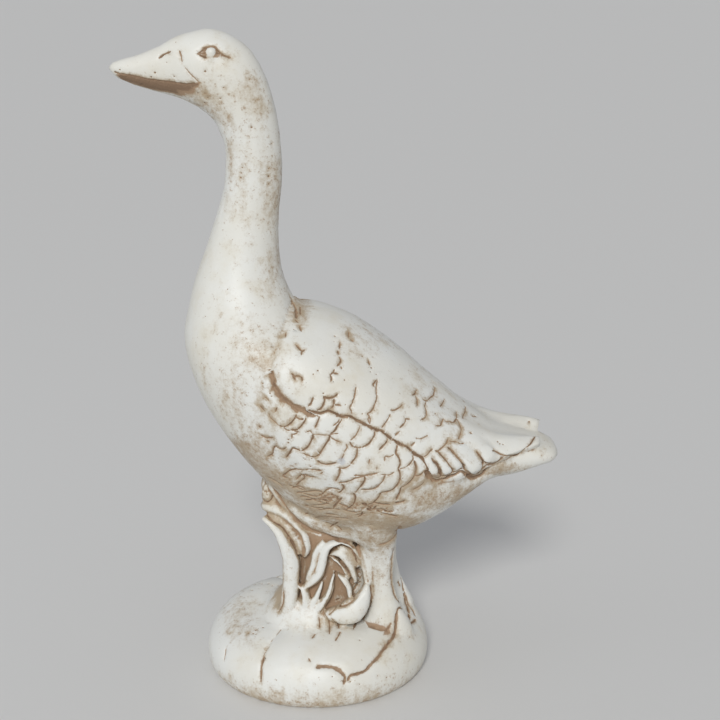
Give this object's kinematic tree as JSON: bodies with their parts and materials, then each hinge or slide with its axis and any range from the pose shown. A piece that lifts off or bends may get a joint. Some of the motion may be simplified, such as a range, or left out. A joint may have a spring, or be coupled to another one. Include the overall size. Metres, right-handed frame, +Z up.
{
  "type": "garden statue of a goose",
  "caption": "Standing domestic goose in cast stone with folded wings, on leaves and a round mound that is its own base, for a garden or terrace.",
  "frame": {"origin": "centre of the mound's flat underside, on the ground", "axes": "+Z up, the goose faces -X, its left side faces -Y"},
  "size_m": [0.4795, 0.24, 0.7201],
  "materials": {
    "stone": "cast stone, cream, with a brown wash left in the hollows and a thin sealer"
  },
  "bodies": {
    "root": {"bill_upper": "stone", "bill_lower": "stone", "head": "stone", "eye_left": "stone", "eye_right": "stone", "neck": "stone", "trunk": "stone", "wing_left": "stone", "wing_right": "stone", "tail": "stone", "leg_left": "stone", "leg_right": "stone", "foot_left": "stone", "foot_right": "stone", "foliage": "stone", "mound": "stone"}
  },
  "joints": []
}
